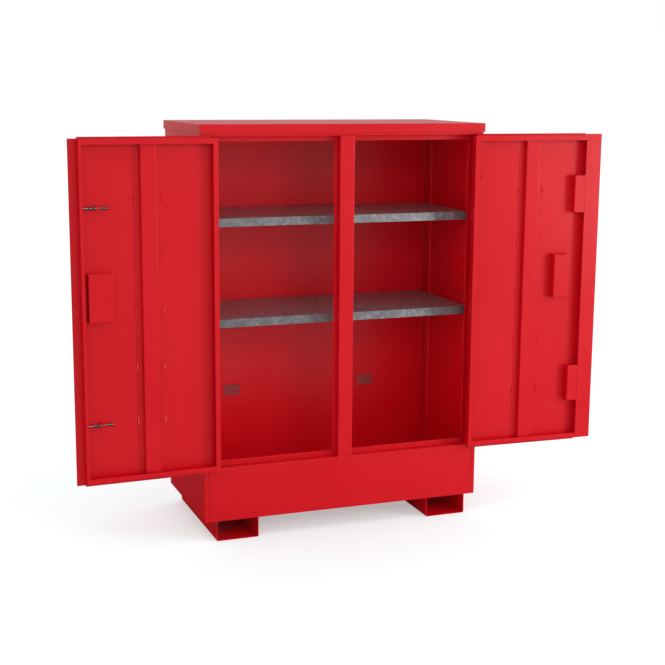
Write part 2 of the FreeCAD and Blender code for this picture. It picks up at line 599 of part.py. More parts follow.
for side, word in ((-1, "left"), (1, "right")):
    placement = door_frame(side)

    def across(x):
        """A place along the door, measured from the hinge line towards the free edge."""
        return mirrored(-side, x)

    def ends(low, high):
        """The same stretch along the door, lowest X first."""
        return (low, high) if side < 0 else ("(-%s)" % high, "(-%s)" % low)

    # Door pan: a skin that laps the frame, and behind it four walls and four lips that enter the doorway.
    box_edge = "(%s - %s_box_setback)" % (PIVOT_X, word)
    skin_edge = "(%s - %s_skin_setback)" % (PIVOT_X, word)
    door = new_body(word + "_door_panel", placement)
    pad(door, "XZ", SKIN_FACE, SKIN_BACK, [
        rectangle(across(DOOR_HINGE_EDGE), SKIN_BOTTOM, across(skin_edge), SKIN_TOP)])
    outer = rectangle(across(DOOR_HINGE_EDGE), DOOR_BOTTOM, across(box_edge), DOOR_TOP)
    pad(door, "XZ", SKIN_BACK, DOOR_BACK, [outer, rectangle(
        across("(%s + sheet)" % DOOR_HINGE_EDGE), "(%s + sheet)" % DOOR_BOTTOM,
        across("(%s - sheet)" % box_edge), "(%s - sheet)" % DOOR_TOP)])
    pad(door, "XZ", "(%s - sheet)" % DOOR_BACK, DOOR_BACK, [outer, rectangle(
        across("(%s + door_hinge_lip)" % DOOR_HINGE_EDGE), "(%s + door_bottom_lip)" % DOOR_BOTTOM,
        across("(%s - %s_free_lip)" % (box_edge, word)), "(%s - door_top_lip)" % DOOR_TOP)])
    bend_edges(door, "Z", [(across(DOOR_HINGE_EDGE), DOOR_BACK), (across(box_edge), DOOR_BACK)], "sheet")
    pocket(door, "XZ", SKIN_FACE, SKIN_BACK, [
        rectangle(across(box_edge), SKIN_BOTTOM, across(skin_edge), "(%s + skin_notch)" % SKIN_BOTTOM),
        rectangle(across(box_edge), "(%s - skin_notch)" % SKIN_TOP, across(skin_edge), SKIN_TOP),
        rectangle(across(DOOR_HINGE_EDGE), SKIN_BOTTOM, across("hinge_notch"), DOOR_BOTTOM),
        rectangle(across(DOOR_HINGE_EDGE), DOOR_TOP, across("hinge_notch"), SKIN_TOP)])
    pocket(door, "XZ", "(%s - sheet)" % DOOR_BACK, DOOR_BACK, [], [
        (across(place), "(%s - hook_hole_drop)" % DOOR_TOP, "hook_hole_radius")
        for place in ("hook_hole_start", "(%s - hook_hole_setback)" % box_edge)])

    # Recessed pull: an opening in the skin with a box behind it.
    pull_end = "(%s - %s_pull_setback)" % (box_edge, word)
    start = "(%s - %s_pull_width)" % (pull_end, word)
    pull_middle = "((sill_top + %s) / 2 + pull_offset)" % RAIL_BOTTOM
    pull_low, pull_high = "(%s - pull_height / 2)" % pull_middle, "(%s + pull_height / 2)" % pull_middle
    pocket(door, "XZ", SKIN_FACE, SKIN_BACK, [rectangle(
        across("(%s + pull_side_margin)" % start), "(%s + pull_end_margin)" % pull_low,
        across("(%s - pull_grip_margin)" % pull_end), "(%s - pull_end_margin)" % pull_high)])
    pull = new_body(word + "_pull_box", placement)
    pad(pull, "XZ", SKIN_BACK, DOOR_BACK, [rectangle(
        across(start), pull_low, across(pull_end), pull_high)])
    round_rim(pull, "Y", DOOR_BACK, "bend + sheet")
    pocket(pull, "XZ", SKIN_BACK, "(%s - sheet)" % DOOR_BACK, [rectangle(
        across("(%s + sheet)" % start), "(%s + sheet)" % pull_low,
        across("(%s - sheet)" % pull_end), "(%s - sheet)" % pull_high)])

    # Stiffener: a hat-section channel welded up the inside of the skin.
    start = "stiffener_start"
    foot_end, far_foot = "(%s + stiffener_foot)" % start, "(%s + stiffener_width - stiffener_foot)" % start
    finish = "(%s + stiffener_width)" % start
    crown = "(%s + stiffener_depth)" % SKIN_BACK
    crown_back = "(%s - sheet)" % crown
    foot_top = "(%s + sheet)" % SKIN_BACK
    folded(word + "_door_stiffener", "XY", "(%s + sheet)" % DOOR_BOTTOM, "(%s - sheet)" % DOOR_TOP, [
        (across(start), SKIN_BACK), (across("(%s + sheet)" % foot_end), SKIN_BACK),
        (across("(%s + sheet)" % foot_end), crown_back), (across("(%s - sheet)" % far_foot), crown_back),
        (across("(%s - sheet)" % far_foot), SKIN_BACK), (across(finish), SKIN_BACK),
        (across(finish), foot_top), (across(far_foot), foot_top), (across(far_foot), crown),
        (across(foot_end), crown), (across(foot_end), foot_top), (across(start), foot_top)],
        outer=[(across(far_foot), crown), (across(foot_end), crown)], placement=placement)

    # Hinges: three butt hinges, a frame leaf packed off the jamb face and a door leaf on the skin.
    leaf_front = "(%s - leaf_sheet)" % SKIN_FACE
    for name, height in zip(HINGE_NAMES, HINGE_HEIGHTS):
        low, high = "(%s - hinge_height / 2)" % height, "(%s + hinge_height / 2)" % height
        knuckle_low = "(%s - hinge_height / 2 + hinge_knuckle)" % height
        knuckle_high = "(%s + hinge_height / 2 - hinge_knuckle)" % height
        plate_start = "(barrel_radius + leaf_standoff)"
        bore = [("0", "0", "(pin_radius + running_clearance)")]
        leaf = new_body("%s_%s_hinge_frame_leaf" % (word, name),
                        FreeCAD.Placement(placement.Base, FreeCAD.Rotation()))
        pad(leaf, "XY", low, high, [], [("0", "0", "barrel_radius")])
        pad(leaf, "XY", low, high, [rectangle(
            across("(-frame_leaf_reach)"), leaf_front, across("0"), SKIN_FACE)])
        pad(leaf, "XY", low, high, [rectangle(
            across("(-frame_leaf_reach)"), SKIN_FACE, across("(-packer_start)"), FRAME_FACE)])
        pocket(leaf, "XY", low, high, [], bore)
        pocket(leaf, "XY", "(%s - hinge_play)" % knuckle_low, "(%s + hinge_play)" % knuckle_high, [
            rectangle(across("(-%s)" % plate_start), "(-%s)" % plate_start,
                      across(plate_start), plate_start)])
        wing = new_body("%s_%s_hinge_door_leaf" % (word, name), placement)
        pad(wing, "XY", knuckle_low, knuckle_high, [], [("0", "0", "barrel_radius")])
        pad(wing, "XY", knuckle_low, knuckle_high, [rectangle(
            across("0"), leaf_front, across(plate_start), SKIN_FACE)])
        pad(wing, "XY", low, high, [rectangle(
            across(plate_start), leaf_front, across("door_leaf_reach"), SKIN_FACE)])
        pocket(wing, "XY", knuckle_low, knuckle_high, [], bore)
        holes = [(across("rivet_setback"), "(%s %s rivet_pitch / 2)" % (height, sign), "rivet_radius")
                 for sign in ("+", "-")]
        pocket(wing, "XZ", leaf_front, SKIN_FACE, [], holes)
        pocket(door, "XZ", SKIN_FACE, SKIN_BACK, [], holes)

    pins = []
    rivets = []
    for height in HINGE_HEIGHTS:
        low = size("%s - hinge_height / 2" % height)
        pin = Part.makeCylinder(size("pin_radius"), size("hinge_height"), FreeCAD.Vector(0, 0, low))
        head = Part.makeCylinder(size("pin_head_radius"), size("pin_head_height"),
                                 FreeCAD.Vector(0, 0, low + size("hinge_height")))
        pins.append(pin.fuse(head).removeSplitter())
        for sign in (-1, 1):
            middle = size(height) + sign * size("rivet_pitch") / 2
            place = -side * size("rivet_setback")
            head, shank, tail = [Part.makeLoft([
                faceted_rim(place, size(low), middle, size(first)),
                faceted_rim(place, size(high), middle, size(last))], True, True)
                for low, high, first, last in RIVET_STRETCHES]
            rivets.append(head.fuse([shank, tail]).removeSplitter())
    group(word + "_hinge_pins", pins, FreeCAD.Placement(placement.Base, FreeCAD.Rotation()))
    group(word + "_door_rivets", rivets, placement)

    if side < 0:
        # Slide bolts at the top and bottom of the door that shuts first.
        for name, height in zip(("upper", "lower"), ROD_HEIGHTS):
            tip = "(%s - rod_tip_setback)" % box_edge
            tail = "(%s - rod_length)" % tip
            rod = new_body(name + "_slide_bolt", placement)
            pad(rod, "YZ", tail, tip, [], [(ROD_AXIS, height, "rod_radius")])
            pad(rod, "XZ", ROD_AXIS, "(%s + knob_height)" % ROD_AXIS, [], [
                ("(%s - knob_setback)" % tip, height, "knob_radius")])
            bracket = new_body(name + "_slide_bolt_bracket", placement)
            bracket_end = "(%s - rod_tip_setback / 2 - sheet)" % box_edge
            bracket_start = "(%s - bracket_length)" % bracket_end
            pad(bracket, "XZ", SKIN_BACK, "(%s + bracket_sheet)" % SKIN_BACK, [rectangle(
                bracket_start, "(%s - bracket_height / 2)" % height,
                bracket_end, "(%s + bracket_height / 2)" % height)])
            for guide in (bracket_start, "(%s - guide_width)" % bracket_end):
                pad(bracket, "YZ", guide, "(%s + guide_width)" % guide, [rectangle(
                    SKIN_BACK, "(%s - rod_radius - 2 * bracket_sheet)" % height,
                    "(%s + rod_radius + bracket_sheet)" % ROD_AXIS,
                    "(%s + rod_radius + 2 * bracket_sheet)" % height)])
            pocket(bracket, "YZ", bracket_start, bracket_end, [], [
                (ROD_AXIS, height, "(rod_radius + running_clearance)")])
            pocket(door, "YZ", "(%s - sheet)" % box_edge, box_edge, [], [
                (ROD_AXIS, height, "(rod_radius + slot_clearance)")])
    else:
        # Meeting strip: laps the edge of the left door's skin.
        strip = new_body("right_door_meeting_strip", placement)
        strip_end = "(%s + strip_reach)" % PIVOT_X
        strip_low, strip_high = "(%s + strip_end_gap)" % SKIN_BOTTOM, "(%s - strip_end_gap)" % SKIN_TOP
        pad(strip, "XZ", "(%s - sheet)" % SKIN_FACE, SKIN_FACE, [
            rectangle(across(box_edge), strip_low, across(strip_end), strip_high)])
        pocket(strip, "XZ", "(%s - barrel_clearance)" % SKIN_FACE, SKIN_FACE, [
            rectangle(across(skin_edge), strip_low, across(strip_end), strip_high)])
        # Deadlocks at the top and bottom of the door that shuts last, thrown by key cylinders.
        case_end = "(%s - right_free_lip)" % box_edge
        case_start = "(%s - lock_width)" % case_end
        for name, height in zip(("upper", "lower"), LOCK_HEIGHTS):
            low, high = "(%s - lock_height / 2)" % height, "(%s + lock_height / 2)" % height
            bolt_low = "(%s - deadbolt_height / 2 - slot_clearance)" % height
            bolt_high = "(%s + deadbolt_height / 2 + slot_clearance)" % height
            case = new_body(name + "_lock_case", placement)
            pad(case, "XZ", SKIN_BACK, DOOR_BACK, [rectangle(across(case_start), low, across(case_end), high)])
            round_rim(case, "Y", DOOR_BACK, "bend")
            pocket(case, "XZ", SKIN_BACK, "(%s - sheet)" % DOOR_BACK, [rectangle(
                across("(%s + sheet)" % case_start), "(%s + sheet)" % low,
                across("(%s - sheet)" % case_end), "(%s - sheet)" % high)])
            stretch = ends("(%s - sheet)" % case_end, case_end)
            slot = [rectangle(BOLT_FRONT, bolt_low, BOLT_BACK, bolt_high)]
            pocket(case, "YZ", stretch[0], stretch[1], slot)
            stretch = ends("(%s - sheet)" % box_edge, box_edge)
            pocket(door, "YZ", stretch[0], stretch[1], slot)
            tip = "(%s - deadbolt_tip_setback)" % box_edge
            bolt = new_body(name + "_deadbolt", placement)
            stretch = ends("(%s - deadbolt_length)" % tip, tip)
            pad(bolt, "YZ", stretch[0], stretch[1], [rectangle(
                "deadbolt_depth", "(%s - deadbolt_height / 2)" % height,
                "(deadbolt_depth + deadbolt_thickness)", "(%s + deadbolt_height / 2)" % height)])
            cylinder = new_body(name + "_key_cylinder", placement)
            axis_x = "(%s + cylinder_setback)" % case_start
            cam_back = "(deadbolt_depth - slot_clearance)"
            pad(cylinder, "XZ", "(%s - cylinder_proud)" % SKIN_FACE, cam_back, [], [
                (across(axis_x), height, "cylinder_radius")])
            pad(cylinder, "XZ", "(%s - cam_sheet)" % cam_back, cam_back, [rectangle(
                across("(%s - cylinder_radius - cam_reach)" % axis_x), "(%s - cam_radius)" % height,
                across(axis_x), "(%s + cam_radius)" % height)])
            proud_face = "(%s - cylinder_proud)" % SKIN_FACE
            pocket(cylinder, "XZ", proud_face, "(%s + keyway_depth)" % proud_face, [rectangle(
                "(%s - keyway_width / 2)" % across(axis_x), "(%s - keyway_height / 2)" % height,
                "(%s + keyway_width / 2)" % across(axis_x), "(%s + keyway_height / 2)" % height)])
            pocket(door, "XZ", SKIN_FACE, SKIN_BACK, [], [
                (across(axis_x), height, "(cylinder_radius + running_clearance)")])

doc.recompute()

# Every object must be sound before anything is written.
pieces = [o for o in doc.Objects if o.TypeId == "PartDesign::Body"]
pieces += [o for o in doc.Objects if o.TypeId == "Part::Feature"]
for item in doc.Objects:
    if "Invalid" in item.State or "Error" in item.State:
        raise ValueError("%s failed: %s" % (item.Name, item.State))
for piece in pieces:
    if piece.Shape.isNull() or not piece.Shape.isValid():
        raise ValueError("%s has no sound shape" % piece.Label)

os.makedirs("parts", exist_ok=True)
for piece in pieces:
    piece.Shape.exportStep("parts/%s.step" % piece.Label)
print("%d pieces" % len(pieces))
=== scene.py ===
import json
import math
import bpy
from mathutils import Matrix, Vector


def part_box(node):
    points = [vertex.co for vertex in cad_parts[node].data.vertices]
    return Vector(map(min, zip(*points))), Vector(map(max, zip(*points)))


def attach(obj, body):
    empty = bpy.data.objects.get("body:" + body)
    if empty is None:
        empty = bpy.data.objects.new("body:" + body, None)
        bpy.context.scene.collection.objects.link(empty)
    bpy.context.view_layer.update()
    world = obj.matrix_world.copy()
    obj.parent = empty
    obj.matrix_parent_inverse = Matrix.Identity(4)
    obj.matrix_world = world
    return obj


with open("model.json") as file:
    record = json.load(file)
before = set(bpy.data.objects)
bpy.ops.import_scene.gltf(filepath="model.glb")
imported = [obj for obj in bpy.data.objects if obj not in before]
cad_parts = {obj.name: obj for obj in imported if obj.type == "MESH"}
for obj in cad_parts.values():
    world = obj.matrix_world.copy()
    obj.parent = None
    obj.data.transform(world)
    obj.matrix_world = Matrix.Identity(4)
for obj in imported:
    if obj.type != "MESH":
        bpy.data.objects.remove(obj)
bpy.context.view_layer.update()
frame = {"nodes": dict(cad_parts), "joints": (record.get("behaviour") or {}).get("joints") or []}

# Fork skids: two open channels of 3 mm steel, folded and welded under the sump, whose ends take a
# truck's forks. They are sprayed with the cabinet, so the red runs inside them too, and rest on the floor.
MM = 0.001
SKID_WELD_EVERY = 95
SKID_WELD_LENGTH = 38
SKID_WELD_WIDTH = 5
SKID_WELD_INSET = 40
SKID_WELD_LEAN = 0.8
SKID_WELD_DROP = 1.2
SKID_WELD_RIPPLE = 2.4
RIPPLE_SEGMENTS = 8
RIPPLE_RINGS = 6
COAT_RED = "#dc0619"
COAT_DEEP = "#d00315"
COAT_SMOOTHEST = 0.29
COAT_ROUGHEST = 0.34
COAT_IOR = 1.5
COAT_SHINE = 0.36
WELD_COAT_ROUGHNESS = 0.2
NOISE_LOW = 0.3
NOISE_HIGH = 0.7
PEEL_PER_METRE = 300
PEEL_STRENGTH = 0.07
PEEL_DEPTH = 0.3
BLEND_PER_METRE = 2.6
EDGE_ROUNDING = 0.9


def linear(value):
    """An sRGB hex colour as linear RGBA."""
    parts = [int(value[i:i + 2], 16) / 255 for i in (1, 3, 5)]
    return [p / 12.92 if p <= 0.04045 else ((p + 0.055) / 1.055) ** 2.4 for p in parts] + [1]


def add(tree, kind, settings=None, **links):
    """A node in a tree, with its settings, and what each input holds or is linked to."""
    node = tree.nodes.new(kind)
    for key, value in (settings or {}).items():
        setattr(node, key, value)
    for key, value in links.items():
        number = key[1:] if key[0] == "_" else ""
        socket = node.inputs[int(number)] if number.isdigit() else node.inputs[key.replace("_", " ")]
        if isinstance(value, bpy.types.NodeSocket):
            tree.links.new(value, socket)
        else:
            socket.default_value = value
    return node


def new_finish(name):
    """An empty material and its tree."""
    finish = bpy.data.materials.new(name)
    finish.use_nodes = True
    finish.node_tree.nodes.clear()
    return finish, finish.node_tree


# Polyester powder coat on steel: sprayed dry and baked to an even semi-gloss film about 0.1 mm thick.
# It rounds every edge a little and has a faint orange peel, here drawn coarse enough to show.
powder_coat, tree = new_finish("polyester_powder_coat")
place = add(tree, "ShaderNodeTexCoord").outputs["Object"]
peel = add(tree, "ShaderNodeTexNoise", Vector=place, Scale=PEEL_PER_METRE, Detail=2.0, Roughness=0.5)
blend = add(tree, "ShaderNodeTexNoise", Vector=place, Scale=BLEND_PER_METRE, Detail=2.0, Roughness=0.5)
red = add(tree, "ShaderNodeMix", {"data_type": "RGBA"}, Factor=blend.outputs["Fac"],
          _6=linear(COAT_DEEP), _7=linear(COAT_RED))
gloss = add(tree, "ShaderNodeMapRange", Value=blend.outputs["Fac"], _1=NOISE_LOW, _2=NOISE_HIGH,
            _3=COAT_SMOOTHEST, _4=COAT_ROUGHEST)
rounded = add(tree, "ShaderNodeBevel", {"samples": 4}, Radius=EDGE_ROUNDING * MM)
relief = add(tree, "ShaderNodeBump", Height=peel.outputs["Fac"], Strength=PEEL_STRENGTH,
             Distance=PEEL_DEPTH * MM, Normal=rounded.outputs["Normal"])
coat = add(tree, "ShaderNodeBsdfPrincipled", Base_Color=red.outputs[2], Roughness=gloss.outputs["Result"],
           Normal=relief.outputs["Normal"], IOR=COAT_IOR, Specular_IOR_Level=COAT_SHINE)
add(tree, "ShaderNodeOutputMaterial", Surface=coat.outputs["BSDF"])

# The same coat where it has flowed over the ripples of a weld and dried glossier than on flat sheet.
weld_coat, tree = new_finish("polyester_powder_coat_over_weld")
flowed = add(tree, "ShaderNodeBsdfPrincipled", Base_Color=linear(COAT_RED),
             Roughness=WELD_COAT_ROUGHNESS, IOR=COAT_IOR)
add(tree, "ShaderNodeOutputMaterial", Surface=flowed.outputs["BSDF"])


def finish(names, material):
    """One finish over whole CAD pieces."""
    for name in names:
        frame["nodes"][name].data.materials.clear()
        frame["nodes"][name].data.materials.append(material)


finish(["left_skid", "right_skid"], powder_coat)


def weld_tree():
    """Geometry nodes: a short weld bead, made of overlapping ripples, at every point of a mesh."""
    tree = bpy.data.node_groups.new("stitch_welds", "GeometryNodeTree")
    sockets = tree.interface
    sockets.new_socket("Points", in_out="INPUT", socket_type="NodeSocketGeometry")
    for name in ("Bead length", "Bead width", "Ripple spacing"):
        sockets.new_socket(name, in_out="INPUT", socket_type="NodeSocketFloat")
    sockets.new_socket("Along", in_out="INPUT", socket_type="NodeSocketVector")
    sockets.new_socket("Finish", in_out="INPUT", socket_type="NodeSocketMaterial")
    sockets.new_socket("Beads", in_out="OUTPUT", socket_type="NodeSocketGeometry")
    given = add(tree, "NodeGroupInput").outputs
    count = add(tree, "ShaderNodeMath", {"operation": "DIVIDE"}, _0=given["Bead length"],
                _1=given["Ripple spacing"])
    half = add(tree, "ShaderNodeVectorMath", {"operation": "SCALE"}, _0=given["Along"], Scale=-0.5)
    row_start = add(tree, "ShaderNodeVectorMath", {"operation": "SCALE"}, _0=half.outputs[0],
                    Scale=given["Bead length"])
    row_step = add(tree, "ShaderNodeVectorMath", {"operation": "SCALE"}, _0=given["Along"],
                   Scale=given["Ripple spacing"])
    row = add(tree, "GeometryNodeMeshLine", Count=count.outputs[0], _2=row_start.outputs[0],
              Offset=row_step.outputs[0])
    ripple_radius = add(tree, "ShaderNodeMath", {"operation": "DIVIDE"}, _0=given["Bead width"], _1=2.0)
    ripple = add(tree, "GeometryNodeMeshUVSphere", Segments=RIPPLE_SEGMENTS, Rings=RIPPLE_RINGS,
                 Radius=ripple_radius.outputs[0])
    bead = add(tree, "GeometryNodeInstanceOnPoints", Points=row.outputs[0], Instance=ripple.outputs[0])
    beads = add(tree, "GeometryNodeInstanceOnPoints", Points=given["Points"], Instance=bead.outputs[0])
    whole = add(tree, "GeometryNodeRealizeInstances", Geometry=beads.outputs[0])
    coated = add(tree, "GeometryNodeSetMaterial", Geometry=whole.outputs[0], Material=given["Finish"])
    add(tree, "NodeGroupOutput", Beads=coated.outputs[0])
    return tree


def grow(name, points, tree, body, slot, edges=(), **values):
    """A mesh of points, what a geometry nodes tree makes of it, and that as a plain piece on a body."""
    mesh = bpy.data.meshes.new(name)
    mesh.from_pydata(points, edges, [])
    seed = bpy.data.objects.new(name, mesh)
    bpy.context.scene.collection.objects.link(seed)
    modifier = seed.modifiers.new(name, "NODES")
    modifier.node_group = tree
    for socket in tree.interface.items_tree:
        key = socket.name.replace(" ", "_")
        if socket.in_out == "INPUT" and key in values:
            modifier[socket.identifier] = values[key]
    evaluated = seed.evaluated_get(bpy.context.evaluated_depsgraph_get())
    made = bpy.data.meshes.new_from_object(evaluated)
    bpy.data.objects.remove(seed)
    piece = bpy.data.objects.new(name, made)
    bpy.context.scene.collection.objects.link(piece)
    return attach(piece, body)


stitch_welds = weld_tree()


def weld(name, points, body, length, width, ripple, along):
    """Coated weld beads at points, with the bead's length, width and ripple spacing in mm."""
    grow(name, points, stitch_welds, body, "red_powder_coat", Bead_length=length * MM,
         Bead_width=width * MM, Ripple_spacing=ripple * MM, Along=along, Finish=weld_coat)


def corners_of(name):
    """The lowest and the highest corner of a CAD piece."""
    return [Vector(corner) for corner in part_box(name)]


skid_points = []
for name in ("left_skid", "right_skid"):
    low, high = corners_of(name)
    count = int((high.y - low.y - 2 * SKID_WELD_INSET * MM) / (SKID_WELD_EVERY * MM)) + 1
    first = (low.y + high.y) / 2 - (count - 1) * SKID_WELD_EVERY * MM / 2
    for x in (low.x - SKID_WELD_LEAN * MM, high.x + SKID_WELD_LEAN * MM):
        skid_points += [(x, first + i * SKID_WELD_EVERY * MM, high.z - SKID_WELD_DROP * MM)
                        for i in range(count)]
weld("skid_stitch_welds", skid_points, "cabinet", SKID_WELD_LENGTH, SKID_WELD_WIDTH, SKID_WELD_RIPPLE,
     (0, 1, 0))

# Body: the spill sump, its front sill, the two side panels, the back and the top rail, all folded from
# 1.5 mm mild steel, seam-welded into one shell and coated inside and out.
shell = ["sump_tray", "front_sill", "left_side_panel", "right_side_panel", "back_panel", "top_rail"]
finish(shell, powder_coat)

# Vents: slotted plates over four openings in the back, each with a fine steel gauze across its slots
# that keeps a flame out. The plates are coated with the shell, and the gauze wire's dark colour is painted
# shade.
GAUZE_PITCH = 1.4
GAUZE_WIRE = 1.15
GAUZE_BORDER = 7
GAUZE_DEPTH = 0.75
GAUZE_SIDES = 4
# The gauze wire's dark colour: painted shade for the dim inside of the vents.
GAUZE_PAINTED_SHADE = "#3a3232"
GAUZE_METAL = 0.6
GAUZE_ROUGHNESS = 0.55

# Woven steel gauze: dull wire, woven so close that hardly any light comes through, in a dark colour that is
# painted shade.
gauze, tree = new_finish("oxidised_steel_wire")
wire = add(tree, "ShaderNodeBsdfPrincipled", Base_Color=linear(GAUZE_PAINTED_SHADE),
           Metallic=GAUZE_METAL, Roughness=GAUZE_ROUGHNESS)
add(tree, "ShaderNodeOutputMaterial", Surface=wire.outputs["BSDF"])


def gauze_tree():
    """Geometry nodes: every edge of a mesh becomes a wire."""
    tree = bpy.data.node_groups.new("gauze_wires", "GeometryNodeTree")
    sockets = tree.interface
    sockets.new_socket("Lines", in_out="INPUT", socket_type="NodeSocketGeometry")
    sockets.new_socket("Wire radius", in_out="INPUT", socket_type="NodeSocketFloat")
    sockets.new_socket("Finish", in_out="INPUT", socket_type="NodeSocketMaterial")
    sockets.new_socket("Wires", in_out="OUTPUT", socket_type="NodeSocketGeometry")
    given = add(tree, "NodeGroupInput").outputs
    curves = add(tree, "GeometryNodeMeshToCurve", Mesh=given["Lines"])
    section = add(tree, "GeometryNodeCurvePrimitiveCircle", Resolution=GAUZE_SIDES,
                  Radius=given["Wire radius"])
    wires = add(tree, "GeometryNodeCurveToMesh", Curve=curves.outputs[0], Profile_Curve=section.outputs[0],
                Fill_Caps=True)
    whole = add(tree, "GeometryNodeRealizeInstances", Geometry=wires.outputs[0])
    dark = add(tree, "GeometryNodeSetMaterial", Geometry=whole.outputs[0], Material=given["Finish"])
    add(tree, "NodeGroupOutput", Wires=dark.outputs[0])
    return tree


vents = ["%s_%s_vent" % (level, side) for level in ("low", "high") for side in ("left", "right")]
finish(vents, powder_coat)
wire_ends = []
wire_edges = []
for name in vents:
    low, high = corners_of(name)
    inset = GAUZE_BORDER * MM
    back = high.y - GAUZE_DEPTH * MM
    across_count = int((high.x - low.x - 2 * inset) / (GAUZE_PITCH * MM))
    up_count = int((high.z - low.z - 2 * inset) / (GAUZE_PITCH * MM))
    for i in range(across_count + 1):
        x = low.x + inset + i * GAUZE_PITCH * MM
        wire_edges.append((len(wire_ends), len(wire_ends) + 1))
        wire_ends += [(x, back, low.z + inset), (x, back, high.z - inset)]
    for i in range(up_count + 1):
        z = low.z + inset + i * GAUZE_PITCH * MM
        wire_edges.append((len(wire_ends), len(wire_ends) + 1))
        wire_ends += [(low.x + inset, back, z), (high.x - inset, back, z)]
grow("vent_gauze", wire_ends, gauze_tree(), "cabinet", "dark_gauze", edges=wire_edges,
     Wire_radius=GAUZE_WIRE / 2 * MM, Finish=gauze)

# Centre mullion: a folded hat section between sill and top rail, which both doors shut against. Its sides
# have slots for the bolts, and it is welded in at both ends.
finish(["centre_mullion"], powder_coat)

# Lid: a folded pan with welded corners that sheds rain, set down over the shell and welded to it.
finish(["lid"], powder_coat)

# Shelf uprights: slotted channels welded up the side walls, coated with the shell.
uprights = ["%s_%s_upright" % (side, depth) for side in ("left", "right") for depth in ("front", "rear")]
finish(uprights, powder_coat)

# Shelves: pans of hot-dip galvanised sheet, left bare, which lie loose on four clips each. The clips are
# pressed from steel strip, zinc plated, and hook into the uprights' slots.
SPANGLE_WIDTH = 14
SPANGLE_PALE = "#bcbcbf"
SPANGLE_DARK = "#97979c"
SPANGLE_SMOOTHEST = 0.34
SPANGLE_ROUGHEST = 0.5
SPANGLE_METAL = 0.85
WARP_PER_METRE = 55.0
WARP_SHARE = 0.012
PLATE_PALE = "#d2d2cd"
PLATE_DARK = "#a4a5a4"
PLATE_SMOOTHEST = 0.16
PLATE_ROUGHEST = 0.26
PLATE_CLOUD = 4

# Hot-dip galvanised sheet: zinc that froze into flat crystals a centimetre or two across, each with its
# own tilt and gloss, so that the sheet looks mottled light and dark grey.
galvanised, tree = new_finish("hot_dip_galvanised_sheet")
place = add(tree, "ShaderNodeTexCoord").outputs["Object"]
warp = add(tree, "ShaderNodeTexNoise", Vector=place, Scale=WARP_PER_METRE, Detail=2.0)
bent = add(tree, "ShaderNodeMix", {"data_type": "RGBA", "blend_type": "LINEAR_LIGHT"},
           Factor=WARP_SHARE, _6=place, _7=warp.outputs["Color"])
crystals = add(tree, "ShaderNodeTexVoronoi", {"feature": "F1"}, Vector=bent.outputs[2],
               Scale=1 / (SPANGLE_WIDTH * MM))
crystal = add(tree, "ShaderNodeSeparateColor", Color=crystals.outputs["Color"])
grey = add(tree, "ShaderNodeMix", {"data_type": "RGBA"}, Factor=crystal.outputs[0],
           _6=linear(SPANGLE_DARK), _7=linear(SPANGLE_PALE))
dull = add(tree, "ShaderNodeMapRange", Value=crystal.outputs[1], _1=0.0, _2=1.0,
           _3=SPANGLE_SMOOTHEST, _4=SPANGLE_ROUGHEST)
zinc = add(tree, "ShaderNodeBsdfPrincipled", Base_Color=grey.outputs[2], Metallic=SPANGLE_METAL,
           Roughness=dull.outputs["Result"])
add(tree, "ShaderNodeOutputMaterial", Surface=zinc.outputs["BSDF"])

# Bright zinc plate: a thin, slightly blue, silvery coat on small pressed and turned steel parts, clouded
# a little by handling.
zinc_plate, tree = new_finish("bright_zinc_plate")
place = add(tree, "ShaderNodeTexCoord").outputs["Object"]
cloud = add(tree, "ShaderNodeTexNoise", Vector=place, Scale=1 / (PLATE_CLOUD * MM), Detail=3.0)
silver = add(tree, "ShaderNodeMix", {"data_type": "RGBA"}, Factor=cloud.outputs["Fac"],
             _6=linear(PLATE_DARK), _7=linear(PLATE_PALE))
clouded = add(tree, "ShaderNodeMapRange", Value=cloud.outputs["Fac"], _1=NOISE_LOW, _2=NOISE_HIGH,
              _3=PLATE_SMOOTHEST, _4=PLATE_ROUGHEST)
plate = add(tree, "ShaderNodeBsdfPrincipled", Base_Color=silver.outputs[2], Metallic=1.0,
            Roughness=clouded.outputs["Result"])
add(tree, "ShaderNodeOutputMaterial", Surface=plate.outputs["BSDF"])

finish(["upper_shelf", "lower_shelf"], galvanised)
finish(["upper_shelf_clips", "lower_shelf_clips"], zinc_plate)

# Doors: each a skin that laps the frame, with a box of walls and lips behind it, a hat-section stiffener
# held by short stitch welds along both feet, and a box tacked on behind the recessed pull.
FOOT_WELD_ROWS = 5
FOOT_WELD_EVERY = 211
FOOT_WELD_LENGTH = 27
FOOT_WELD_WIDTH = 5.4
FOOT_WELD_RIPPLE = 2.2
WELD_LEAN = 1.0
WELD_RISE = 1.4
SKIN_INSIDE = 6.0
TACK_ROWS = 2
TACK_EVERY = 96
TACK_LENGTH = 12
TACK_WIDTH = 5
TACK_RIPPLE = 1.8
UP = (0, 0, 1)
doors = [side + "_door_" + part for side in ("left", "right") for part in ("panel", "stiffener")]
finish(doors + ["left_pull_box", "right_pull_box", "right_door_meeting_strip"], powder_coat)


def door_point(side, along, depth, height):
    """A place on an open door, from its hinge line: along the door, into the room it shuts, and up, in mm."""
    hinge = next(j for j in frame["joints"] if j["name"] == side + "_door_hinge")
    sign = 1 if side == "left" else -1
    turn = math.radians(hinge["range_deg"][0]) * sign
    x = sign * along * math.cos(turn) - depth * math.sin(turn)
    y = sign * along * math.sin(turn) + depth * math.cos(turn)
    return Vector((hinge["pos_m"][0] + x * MM, hinge["pos_m"][1] + y * MM, height * MM))


